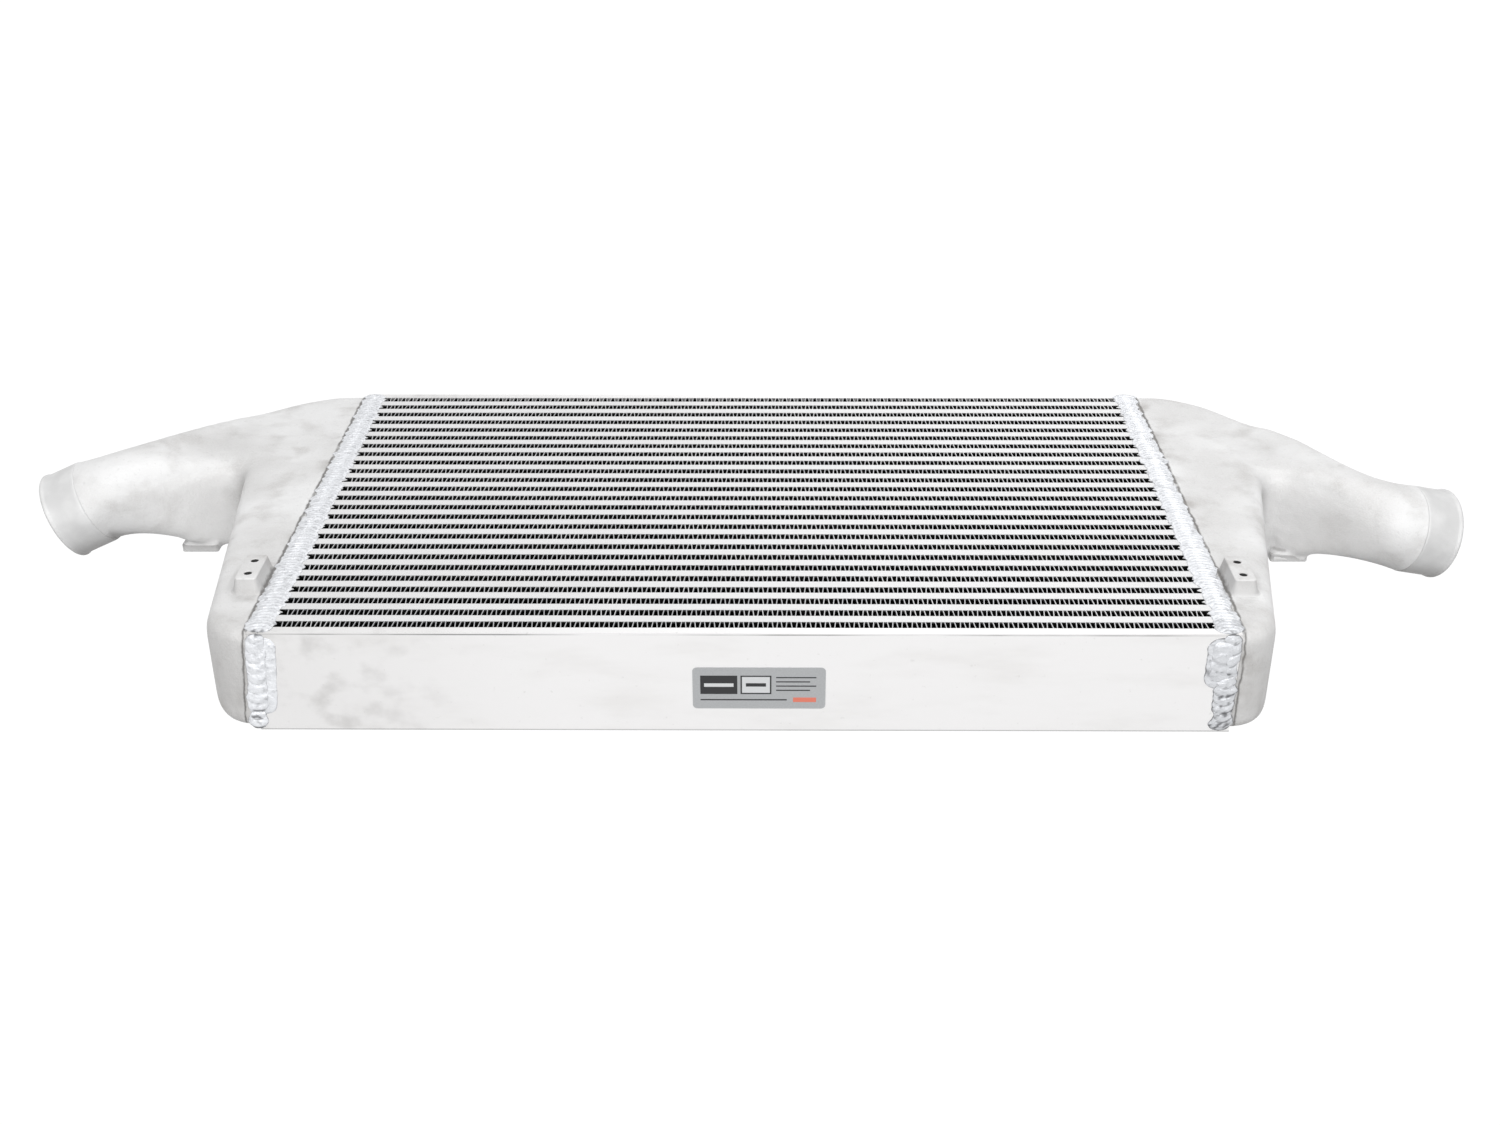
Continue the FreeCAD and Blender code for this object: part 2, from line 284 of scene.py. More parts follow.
# %% Studio
def seen_rays(tree):
    """1 for rays from the camera, a reflection or a transmission, and 0 for the others."""
    path = tree.nodes.new("ShaderNodeLightPath")
    total = path.outputs["Is Camera Ray"]
    for name in ("Is Glossy Ray", "Is Transmission Ray"):
        add = tree.nodes.new("ShaderNodeMath")
        add.operation = "MAXIMUM"
        tree.links.new(total, add.inputs[0])
        tree.links.new(path.outputs[name], add.inputs[1])
        total = add.outputs[0]
    return total


def white_world(ambient):
    """White for the rays that are seen, and ambient for those that only light the part."""
    world = bpy.data.worlds.new("studio")
    bpy.context.scene.world = world
    world.use_nodes = True
    tree = world.node_tree
    background = tree.nodes["Background"]
    background.inputs["Color"].default_value = (1, 1, 1, 1)
    strength = tree.nodes.new("ShaderNodeMapRange")
    strength.inputs["To Min"].default_value = ambient
    strength.inputs["To Max"].default_value = 1.0
    tree.links.new(seen_rays(tree), strength.inputs["Value"])
    tree.links.new(strength.outputs[0], background.inputs["Strength"])


def pale_floor(whiteness, side=8.0, gap=0.4 * MM, grey=0.2, glow_strength=1.1):
    """A grey matte square, of which the share whiteness glows for the rays that are seen."""
    corners = np.array([[-side, -side, 0], [side, -side, 0], [side, side, 0], [-side, side, 0]])
    floor = mesh_piece("floor", corners - [0, 0, gap], [[0, 1, 2, 3]])
    material = bpy.data.materials.new("floor")
    material.use_nodes = True
    tree = material.node_tree
    tree.nodes.remove(tree.nodes["Principled BSDF"])
    matte, glow, mix, share = (tree.nodes.new(kind) for kind in (
        "ShaderNodeBsdfDiffuse", "ShaderNodeEmission", "ShaderNodeMixShader", "ShaderNodeMath"))
    matte.inputs["Color"].default_value = (grey, grey, grey, 1)
    share.operation = "MULTIPLY"
    share.inputs[1].default_value = whiteness
    glow.inputs["Strength"].default_value = glow_strength
    tree.links.new(seen_rays(tree), share.inputs[0])
    tree.links.new(share.outputs[0], mix.inputs[0])
    tree.links.new(matte.outputs[0], mix.inputs[1])
    tree.links.new(glow.outputs[0], mix.inputs[2])
    tree.links.new(mix.outputs[0], tree.nodes["Material Output"].inputs["Surface"])
    floor.data.materials.append(material)


def soft_lamp(name, place, size, power):
    """A round lamp, size across, that faces the origin."""
    data = bpy.data.lights.new(name, "AREA")
    data.shape = "DISK"
    data.size = size
    data.energy = power
    lamp = bpy.data.objects.new(name, data)
    back = np.array(place) / np.linalg.norm(place)
    side = np.cross([0, 0, 1.0] if abs(back[2]) < 0.95 else [0, 1.0, 0], back)
    side /= np.linalg.norm(side)
    lamp.matrix_world = Matrix(np.stack([side, np.cross(back, side), back], axis=1).tolist()).to_4x4()
    lamp.location = place
    bpy.context.scene.collection.objects.link(lamp)


white_world(ambient=0.6)
pale_floor(whiteness=0.94)
soft_lamp("lamp_over", (0.5, 0.0, 2.2), size=1.8, power=15)
soft_lamp("lamp_front", (0.0, -2.5, 0.9), size=3.0, power=47)
soft_lamp("lamp_back", (0.6, 2.4, 1.2), size=1.6, power=4)
print("studio ready")

# %% [markdown]
# One metal shows six finishes. The tanks are sand cast: pale, matte and slightly mottled, with a
# grainy skin. The plates are rolled, nearly white and smoother, with faint stains, and the bars
# between them are brazed. The fins are thin bright sheet. The welds are silvery with a blue cast and
# grey soot, and the hose collars are turned. All read Object coordinates, so that a pattern stays
# put on the part. Three also read a value that the mesh carries, written by the cells further down.
# One is painted shade and light: as painted shade it greys creases and undersides up to 1 and
# blackens a hole towards 2, and under 0 it is painted light that whitens the front of a horn where it
# faces the camera. The other, soot, darkens a weld.

# %% Cast aluminium
SHADE = (0.27, 0.262, 0.255)  # metal in a crease or on an underside


def cast_aluminium():
    paint = Paint("cast_aluminium")
    clouds = paint.noise(0.060, 3).step(0.3, 0.7)
    stains = paint.noise(0.024, 5).step(0.46, 0.76)
    grain = paint.noise(0.0012, 2)
    pores = paint.noise(0.0028, 2).step(0.60, 0.72)
    lumps = paint.noise(0.014, 2)
    hollow = paint.attribute("hollow")
    colour = paint.mix(clouds, (0.67, 0.665, 0.66), (0.80, 0.80, 0.80))
    colour = paint.mix(stains * 0.5, colour, (0.45, 0.435, 0.42))
    colour = paint.mix(grain.step(0.35, 0.75) * 0.3, colour, (0.82, 0.82, 0.83))
    colour = paint.mix(pores * 0.12, colour, (0.36, 0.355, 0.35))
    # What the mesh says: painted light below 0 on the horns' fronts, painted shade up to 1 in creases
    # and on undersides, and darker painted shade inside a hole up to 2
    colour = paint.mix((0 - hollow).higher(0.0) * 0.55, colour, (0.94, 0.935, 0.93))
    colour = paint.mix(hollow.lower(1.0).higher(0.0) * 0.65, colour, SHADE)
    colour = paint.mix((hollow - 1).higher(0.0) * 0.92, colour, (0.02, 0.02, 0.02))
    # Darker in patches towards the bottom of the front faces, a little darker over all of them, with
    # vertical streaks
    front = 1 - paint.y.step(-0.19, -0.17)
    low_dark_patches = front * (1 - paint.z.step(0.0, 0.065)) * paint.noise(0.03, 5).step(0.3, 0.65)
    streaks = front * paint.noise(0.012, 4, (1, 1, 4)).step(0.4, 0.7)
    colour = paint.mix(low_dark_patches * 0.45 + front * 0.15 + streaks * 0.2, colour, (0.40, 0.385, 0.37))
    # Soot in the toe of the weld: a thin uneven dark line just outside the seam. Down the front the
    # left one follows a slanting bead, and the right one runs straight
    slant = front * (1 - paint.z / TOP) * (3.8 * MM - paint.x * 0.0117)
    reach = abs(paint.x) - slant
    toe = paint.noise(0.007, 3) * (3 * MM) + (SEAM + 1.2 * MM)
    away = abs(reach - toe) + front * (0.4 * MM)
    soot = (1 - away.step(0.3 * MM, 1.7 * MM)) * paint.noise(0.012, 2).step(0.15, 0.45)
    colour = paint.mix(soot * 0.85, colour, (0.10, 0.095, 0.09))
    haze = 1 - abs(reach - (SEAM + 1 * MM)).step(1 * MM, 14 * MM)
    colour = paint.mix(haze * stains * 0.4, colour, (0.30, 0.28, 0.26))
    normal = paint.bump(lumps, 0.0012)
    normal = paint.bump(grain, 0.00025, normal)
    return paint.finish(Base_Color=colour, Metallic=0.25, Normal=normal,
                        Roughness=grain * 0.14 + clouds * 0.08 + 0.50)


# %% Rolled plate and brazed bars
# Painted shade: near black for metal deep in the core, where little light reaches
DEEP_SHADE = (0.006, 0.006, 0.006)  # metal deep in the core


def rolled_plate():
    paint = Paint("plate_aluminium")
    stains = paint.noise(0.05, 4, (2.0, 1, 0.6)).step(0.45, 0.75)
    left = 0.05 - paint.x
    shade = paint.noise(0.022, 5, (1.1, 1, 0.9)).step(0.45, 0.75) * left.step(0.2, 0.32)
    specks = paint.noise(0.004, 2).step(0.68, 0.8)
    lines = paint.noise(0.0009, 1, (60, 60, 1))
    colour = paint.mix(stains * 0.6, (0.86, 0.853, 0.853), (0.72, 0.71, 0.70))
    colour = paint.mix(shade * 0.5 + left.step(0.15, 0.36) * 0.15, colour, (0.50, 0.49, 0.48))
    colour = paint.mix(specks * 0.35, colour, (0.6, 0.59, 0.58))
    # A broken dark line just under the upper edge, and a painted contact shadow along the lower edge
    joint = 1 - abs(paint.z - (TOP - 1.2 * MM)).step(0.1 * MM, 0.7 * MM)
    colour = paint.mix(joint * paint.noise(0.06, 2).step(0.3, 0.7) * 0.9, colour, (0.2, 0.2, 0.2))
    # Painted contact shadow where the plate meets the floor
    rest = 1 - paint.z.step(0.2 * MM, 1.2 * MM)
    colour = paint.mix(rest * 0.7, colour, (0.25, 0.25, 0.25))
    normal = paint.bump(lines, 0.00003)
    return paint.finish(Base_Color=colour, Metallic=0.6, Normal=normal,
                        Roughness=stains * 0.1 + lines * 0.08 + 0.34)


def brazed_bar():
    paint = Paint("bar_aluminium")
    stains = paint.noise(0.03, 3, (3, 1, 1)).step(0.4, 0.8)
    lines = paint.noise(0.0008, 2, (25, 1, 1))
    colour = paint.mix(stains * 0.4, (0.76, 0.76, 0.765), (0.655, 0.65, 0.645))
    # Little light reaches down between the bars: only their outer edges are bright
    colour = paint.mix(paint.depth_light(0.0362, 0.0367), DEEP_SHADE, colour)
    normal = paint.bump(lines, 0.00006)
    return paint.finish(Base_Color=colour, Metallic=0.35, Normal=normal,
                        Roughness=lines * 0.15 + 0.38)


# %% Fin sheet
def fin_sheet():
    paint = Paint("fin_aluminium")
    tint = paint.noise(0.03, 2).step(0.35, 0.7)
    bright = paint.mix(tint, (0.46, 0.465, 0.48), (0.66, 0.66, 0.665))
    # Painted shade: deep in the core the fins go near black, and only their outer edges are bright
    colour = paint.mix(paint.depth_light(0.0350, 0.0368), DEEP_SHADE, bright)
    return paint.finish(Base_Color=colour, Metallic=0.85, Roughness=tint * 0.1 + 0.34)


# %% Weld metal
def weld_metal():
    paint = Paint("weld_aluminium")
    frost = paint.noise(0.0016, 3)
    soot = paint.attribute("soot")
    patches = paint.noise(0.009, 3).step(0.5, 0.8)
    crust = paint.noise(0.0045, 3)
    colour = paint.mix(frost, (0.70, 0.715, 0.75), (0.90, 0.91, 0.93))
    colour = paint.mix(patches * 0.4, colour, (0.56, 0.575, 0.60))
    colour = paint.mix(crust.step(0.58, 0.70) * 0.35, colour, (0.36, 0.365, 0.38))
    front = 1 - paint.y.step(-0.19, -0.186)
    dull = front * (patches * 0.3 + paint.x.step(-0.1, 0.1) * 0.35)
    colour = paint.mix(dull, colour, (0.44, 0.45, 0.47))
    colour = paint.mix(soot.lower(1.0) * 0.85, colour, (0.09, 0.09, 0.095))
    normal = paint.bump(crust, 0.0010)
    normal = paint.bump(frost, 0.00018, normal)
    return paint.finish(Base_Color=colour, Metallic=0.6, Normal=normal,
                        Roughness=frost * 0.15 + soot * 0.2 + 0.38)


# %% Turned aluminium
def turned_aluminium():
    paint = Paint("turned_aluminium")
    haze = paint.noise(0.018, 3).step(0.35, 0.75)
    grain = paint.noise(0.0007, 2)
    colour = paint.mix(haze, (0.66, 0.66, 0.66), (0.77, 0.77, 0.77))
    colour = paint.mix(paint.x.step(0.3, 0.4) * 0.12, colour, (0.45, 0.45, 0.45))
    # Painted shade on the collar's underside
    colour = paint.mix(paint.attribute("hollow") * 0.65, colour, SHADE)
    normal = paint.bump(grain, 0.0001)
    return paint.finish(Base_Color=colour, Metallic=0.3, Normal=normal,
                        Roughness=grain * 0.12 + haze * 0.06 + 0.46)


# %% [markdown]
# The sticker on the front plate is a grey foil. Its print is left as plain fields: a dark block, an
# outlined block, a few thin lines and a small salmon bar. Each field is a box in X and Z, made by
# multiplying four steps, so no picture is needed.

# %% Label foil
def label_foil(middle_x, middle_z):
    paint = Paint("label")
    x, z = paint.x - middle_x, paint.z - middle_z

    def field(left, right, low, high, edge=0.12 * MM):
        across = (x - left).step(-edge, edge) * (1 - (x - right).step(-edge, edge))
        return across * (z - low).step(-edge, edge) * (1 - (z - high).step(-edge, edge))

    def block(colour, ink, left, right, low, high):
        box = field(*(side * MM for side in (left, right, low, high)))
        return paint.mix(box, colour, ink)

    foil = paint.noise(0.0012, 2)
    colour = paint.mix(foil, (0.40, 0.41, 0.42), (0.52, 0.53, 0.54))
    dark, pale = (0.02, 0.02, 0.022), (0.72, 0.73, 0.74)
    colour = block(colour, dark, -38, -14, -4.5, 9.5)
    colour = block(colour, pale, -35.5, -16.5, 1.0, 3.6)
    colour = block(colour, dark, -12, 8, -4.5, 9.5)
    colour = block(colour, pale, -11, 7, -3.5, 8.5)
    colour = block(colour, dark, -8.5, 4.5, 1.2, 3.8)
    for line in range(4):
        high = 8.5 - 3.2 * line
        colour = block(colour, dark, 11, 37 - 4 * (line % 2), high - 0.9, high)
    colour = block(colour, (0.80, 0.22, 0.15), 22, 37, -10.5, -7.0)
    colour = block(colour, dark, -38, 18, -9.3, -8.3)
    return paint.finish(Base_Color=colour, Metallic=0.1, Roughness=foil * 0.1 + 0.32)


label_low, label_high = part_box("label_plate")
finishes = {
    "cast": cast_aluminium(), "plate": rolled_plate(), "bar": brazed_bar(), "fin": fin_sheet(),
    "weld": weld_metal(), "turned": turned_aluminium(),
    "label": label_foil((label_low.x + label_high.x) / 2, (label_low.z + label_high.z) / 2)}
print("finishes:", sorted(finishes))

# %% [markdown]
# The side plates, the charge tubes, the closing bars, the turbulators and the label keep their CAD
# shapes. They only need their finish, which goes into the material slot of each node's object.

# %% Finish the CAD nodes
def finish_node(name, finish):
    data = nodes[name].data
    data.materials.clear()
    data.materials.append(finish)


for name in nodes:
    if name.startswith("side_plate"):
        finish_node(name, finishes["plate"])
    elif name.startswith(("charge_tube", "closing_bars")):
        finish_node(name, finishes["bar"])
    elif name == "turbulators":
        finish_node(name, finishes["fin"])
finish_node("label_plate", finishes["label"])

# %% [markdown]
# Between two charge tubes lies a strip of thin sheet folded some 190 times, with a fold every
# 3.1 mm. The CAD model has a coarse one of the same size. The fine strip is a wave carried down
# through the core: its centre line is a sine squared off by a hyperbolic tangent, so that its walls
# are steep and its crests flat and brazed to the tubes. Four points a fold are enough.

# %% Fine fins
FOLD_POINTS = np.array([0.10, 0.24, 0.76, 0.90])  # share of a fold at each point
SQUARE = 5              # how square the wave is
LEAP = 0.22 * MM        # how far a fold strays along the strip
PAST_ROW = 0.25 * MM    # how far the strip reaches past its CAD row at each open face


def fold_line(length, height, folds, row_y):
    """Centre line: y = height/2 * tanh(SQUARE sin(pi s)) / tanh(SQUARE), with s counting folds."""
    s = (np.arange(folds)[:, None] + FOLD_POINTS[None, :]).ravel()
    x = (s / folds - 0.5) * length
    spots = np.column_stack([x, np.zeros_like(x), np.full_like(x, row_y)])
    leap = unevenness(spots, 0.012, seed=7) * LEAP
    x = x + leap * np.sin(math.pi * s / folds)
    y = height / 2 * np.tanh(SQUARE * np.sin(math.pi * s)) / math.tanh(SQUARE)
    return np.stack([x, y], axis=1)


def offset_line(line, wall, crest):
    """The line moved sideways, by wall on the steep walls and by crest on the flat crests."""
    along = np.gradient(line, axis=0)
    along /= np.linalg.norm(along, axis=1, keepdims=True)
    return line + np.stack([-along[:, 1] * wall, along[:, 0] * crest], axis=1)


def fine_fins(node, folds=194, wall=0.30 * MM, crest=0.04 * MM):
    low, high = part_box(node)
    line = fold_line(high.x - low.x - 2 * wall, high.y - low.y - 2 * crest, folds, low.y)
    loop = np.concatenate([offset_line(line, wall, crest), offset_line(line, -wall, -crest)[::-1]])
    loop += [(low.x + high.x) / 2, (low.y + high.y) / 2]
    levels = (high.z + PAST_ROW, low.z - PAST_ROW)
    points = np.concatenate([np.column_stack([loop, np.full(len(loop), z)]) for z in levels])
    count = len(loop)
    sides = grid_faces(2, count, close_columns=True)
    i = np.arange(len(line) - 1)
    top = np.stack([i, i + 1, count - 2 - i, count - 1 - i], axis=1)
    bottom = top[:, ::-1] + count
    faces = np.concatenate([sides, top, bottom])
    piece = mesh_piece(node.replace("row", "strip"), points, faces, smooth=False)
    return dress(outward(piece), finishes["fin"], "fin_aluminium", node)


fin_nodes = sorted(name for name in nodes if name.startswith("fin_row"))
strips = [fine_fins(name) for name in fin_nodes]
print("fin strips:", len(strips), "faces each:", len(strips[0].data.polygons))

# %% [markdown]
# A sand casting has no sharp edge: wherever the horn meets the tank the metal runs in a soft fillet.
# The CAD tank has the right form with hard edges, so a merged copy of it is rebuilt from small
# cubes by a voxel remesh and then relaxed: every point moves towards the mean of its neighbours and
# then back by a little more, over and over. That melts edges and facets and keeps the volume. Where
# a turned or tapped surface follows later, the skin is first pressed back under it.

# %% Skin of a casting
def merged_copy(node):
    work = bmesh.new()
    work.from_mesh(nodes[node].data)
    bmesh.ops.remove_doubles(work, verts=work.verts, dist=2e-6)
    mesh = bpy.data.meshes.new(node + "_copy")
    work.to_mesh(mesh)
    work.free()
    copy = bpy.data.objects.new(node + "_copy", mesh)
    bpy.context.scene.collection.objects.link(copy)
    return copy


def voxel_rebuild(copy, voxel):
    modifier = copy.modifiers.new("voxels", "REMESH")
    modifier.mode = "VOXEL"
    modifier.voxel_size = voxel
    graph = bpy.context.evaluated_depsgraph_get()
    mesh = bpy.data.meshes.new_from_object(copy.evaluated_get(graph))
    bpy.data.objects.remove(copy)
    return mesh


def relaxed(points, edges, free, steps):
    """Moves points to or from the mean of their neighbours, by each of the steps in turn.

    free scales the steps, from 0 at a point that stays to 1 at one that is free to move.
    """
    count = np.bincount(edges.ravel(), minlength=len(points))[:, None]
    a, b = edges.T
    for step in steps:
        total = [np.bincount(a, column[b], len(points)) + np.bincount(b, column[a], len(points))
                 for column in points.T]
        points = points + step * free[:, None] * (np.stack(total, axis=1) / count - points)
    return points


# %% Pressing the skin back
BORE = mounts["outlet_right"]["dims"]["r_mm"] * MM
PIPE = BORE + 4 * MM  # outer radius of the pipe end, under the collar's skin
COLLAR = mounts["outlet_right"]["dims"]["length_mm"] * MM


def outlet(side):
    """Mouth centre and axis of a hose outlet, from its mount."""
    mount = mounts["outlet_" + side]
    axis = np.array(mount["axis"])
    return np.array(mount["pos_m"]) + axis * COLLAR / 2, axis


def press_under_collar(points, side):
    """Near the mouth the radius is held between the bore and the pipe, and the end drawn back."""
    mouth, axis = outlet(side)
    local = points - mouth
    depth = -(local @ axis)
    radial = local + depth[:, None] * axis
    radius = np.linalg.norm(radial, axis=1)
    near = (depth < COLLAR) & (radius < PIPE + 4 * MM)
    wanted = np.clip(radius, BORE + 0.4 * MM, PIPE - 0.3 * MM)
    moved = mouth - np.maximum(depth, 0.6 * MM)[:, None] * axis + radial * (wanted / radius)[:, None]
    return np.where(near[:, None], moved, points)


def within(points, middle, reach_x, reach_y):
    """Which points lie in a rectangle round the middle, seen from above."""
    offset = np.abs(points[:, :2] - middle)
    return (offset[:, 0] < reach_x * MM) & (offset[:, 1] < reach_y * MM)


def press_under_boss(points, side, height=10.6 * MM, skin=16 * MM):
    """The boss is pressed down by its height, to make room for a crisp one. What lies under the
    skin stays."""
    *middle, top = mounts["bracket_boss_" + side]["pos_m"]
    skinned = within(points, middle, 12, 22) & (points[:, 2] > top - skin)
    moved = points.copy()
    moved[:, 2] = np.where(skinned, np.minimum(points[:, 2], top - height), points[:, 2])
    return moved


def press_over_lug(points, side, lift=0.9 * MM, bore=4.2 * MM, deep=13 * MM):
    """The foot lug's underside is drawn in, and its tapped hole opened wider."""
    middle = mounts["foot_lug_" + side]["pos_m"][:2]
    moved = points.copy()
    moved[:, 2] = np.where(within(points, middle, 15, 13), np.maximum(points[:, 2], lift), points[:, 2])
    offset = points[:, :2] - middle
    radius = np.linalg.norm(offset, axis=1)
    hole = (radius < bore) & (points[:, 2] < deep)
    wide = middle + offset * (bore / np.maximum(radius, 0.01 * MM))[:, None]
    moved[:, :2] = np.where(hole[:, None], wide, points[:, :2])
    return moved


# %% Cast tanks
def mesh_arrays(mesh):
    points = np.empty(len(mesh.vertices) * 3, np.float32)
    mesh.vertices.foreach_get("co", points)
    edges = np.empty(len(mesh.edges) * 2, np.int32)
    mesh.edges.foreach_get("vertices", edges)
    return points.reshape(-1, 3).astype(float), edges.reshape(-1, 2)


def soft_zone(points, side):
    """1 on the horn, whose edges the foundry rounded most, and 0 at collar, lug and tank."""
    mouth, axis = outlet(side)
    depth = -((points - mouth) @ axis)
    lug = np.array(mounts["foot_lug_" + side]["pos_m"])
    lug_gap = np.linalg.norm((points - lug) * [1, 1, 0.8], axis=1)
    return (smoothstep(14 * MM, 50 * MM, np.abs(points[:, 0]) - SEAM)
            * smoothstep(COLLAR, COLLAR + 14 * MM, depth) * smoothstep(18 * MM, 26 * MM, lug_gap))


CREASE_DEPTH = 0.045 * MM  # a point this far below its neighbours counts as fully in shade


def looks_down(normals):
    return smoothstep(0.25, 0.85, -normals[:, 2])


def paint_shading(mesh, points, edges):
    """Painted shade over 0 in concave creases and on undersides; painted light under 0 on horn fronts.
    """
    normals = np.empty(len(points) * 3, np.float32)
    mesh.vertices.foreach_get("normal", normals)
    normals = normals.reshape(-1, 3)
    free = np.ones(len(points))
    sunk = relaxed(points, edges, free, (1.0,)) - points
    sunk = (sunk * normals).sum(axis=1, keepdims=True)
    crease = relaxed(sunk, edges, free, (0.6,) * 8)[:, 0] / CREASE_DEPTH
    far = np.abs(points[:, 0])
    on_horn = smoothstep(0.37, 0.41, far) * (1 - smoothstep(0.43, 0.49, far))
    to_camera = smoothstep(0.35, 0.85, -normals[:, 1]) * (1 - smoothstep(0.1, 0.5, normals[:, 2]))
    return np.clip(crease + looks_down(normals), 0, 1) - on_horn * to_camera


def cast_tank(side, voxel=1.9 * MM):
    node = "end_tank_" + side
    mesh = voxel_rebuild(merged_copy(node), voxel)
    points, edges = mesh_arrays(mesh)
    points = relaxed(points, edges, soft_zone(points, side), (0.5,) * 60)
    free = smoothstep(0.5 * MM, 5 * MM, np.abs(points[:, 0]) - SEAM)
    points = relaxed(points, edges, free, (0.55, -0.57) * 22)
    mesh.vertices.foreach_set("co", points.astype(np.float32).ravel())
    mesh.update()
    # Painted shade in creases and on undersides, and painted light on horn faces turned to the camera
    hollow = paint_shading(mesh, points, edges)
    # Weaker round the boss, where a crisp block covers the crease
    boss = np.array(mounts["bracket_boss_" + side]["pos_m"])
    gap = (np.abs(points - boss) / np.array([14, 26, 30]) / MM).max(axis=1)
    hollow *= 0.25 + 0.75 * smoothstep(0.9, 1.25, gap)
    for press in (press_under_collar, press_under_boss, press_over_lug):
        points = press(points, side)
    low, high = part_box(node)
    points = np.clip(points, np.array(low), np.array(high))
    mesh.vertices.foreach_set("co", points.astype(np.float32).ravel())
    mesh.update()
    mesh.shade_smooth()
    carry(mesh, "hollow", hollow)
    piece = bpy.data.objects.new("cast_tank_" + side, mesh)
    bpy.context.scene.collection.objects.link(piece)
    print(piece.name, "faces:", len(mesh.polygons), "hollow:", round(float(hollow.mean()), 3))
    return dress(piece, finishes["cast"], "cast_aluminium", node)


for side in ("right", "left"):
    cast_tank(side)

# %% [markdown]
# The hose collar is turned on a lathe: a profile in radius and depth, carried once round the
# outlet's axis. The profile runs up the outside from where the tool ran out, over the rolled lip,
# down the mouth and back along the bore, and closes inside the metal.

# %% Hose collars
COLLAR_PROFILE = np.array([
    (28.6, -0.45), (27.0, -0.04), (25.8, 0.03), (14.0, 0.03), (4.2, 0.05), (3.4, 0.20), (2.8, 0.55),
    (2.2, 0.92), (1.6, 1.08), (1.0, 0.98), (0.5, 0.62), (0.15, 0.15), (0.0, -0.5), (0.0, -3.1),
    (0.2, -3.6), (0.7, -4.0), (1.5, -4.06), (14.0, -4.06), (27.0, -4.06), (28.0, -3.5), (28.2, -2.0)])


def hose_collar(side, around=160):
    """(depth, height over the pipe) turned round: mouth - depth*axis + (pipe + height)*direction."""
    mouth, axis = outlet(side)
    across = np.cross([0, 0, 1.0], axis)
    across /= np.linalg.norm(across)
    depth, height = COLLAR_PROFILE.T * MM
    angle = np.arange(around) / around * 2 * math.pi
    ring = np.cos(angle)[:, None] * across + np.sin(angle)[:, None] * np.cross(axis, across)
    points = (mouth - depth[:, None, None] * axis
              + (PIPE + height)[:, None, None] * ring[None, :, :]).reshape(-1, 3)
    faces = grid_faces(len(depth), around, close_rows=True, close_columns=True)
    piece = mesh_piece("hose_collar_" + side, points, faces)
    # Painted shade: the value grows where the collar's surface looks down
    carry(piece.data, "hollow", np.tile(looks_down(ring), len(depth)))
    return dress(outward(piece), finishes["turned"], "cast_aluminium")


for side in ("right", "left"):
    hose_collar(side)

# %% [markdown]
# The bracket boss and the foot lug carry tapped holes. Each block is a stack of rounded rectangles
# that grow by the draft of the pattern and flare out at the foot. Its flat face is filled round the
# rims of the holes, and each hole is a small lathe shape with a countersink, thread and drill point.

# %% Blocks with tapped holes
def rounded_ring(half_x, half_y, corner, steps=7):
    """Corner arcs of a rounded rectangle, anticlockwise."""
    turn = np.linspace(0, math.pi / 2, steps)
    quarters = [(1, 1, 0), (-1, 1, 1), (-1, -1, 2), (1, -1, 3)]
    return np.concatenate([
        np.stack([sx * (half_x - corner) + corner * np.cos(turn + q * math.pi / 2),
                  sy * (half_y - corner) + corner * np.sin(turn + q * math.pi / 2)], axis=1)
        for sx, sy, q in quarters])


def tapped_profile(depth, radius):
    """(radius, depth) down a hole: countersink, saw-tooth thread of 1 mm pitch, drill point."""
    turns = np.arange(0.8, depth / MM - 1.6, 0.5) * MM
    tooth = np.where(np.arange(len(turns)) % 2 == 0, radius, radius + 0.45 * MM)
    rim = np.array([[radius + 0.55 * MM, 0], [radius + 0.05 * MM, 0.55 * MM]])
    tip = np.array([[radius, depth - 1.4 * MM], [0.02 * MM, depth]])
    return np.concatenate([rim, np.stack([tooth, turns], axis=1), tip])


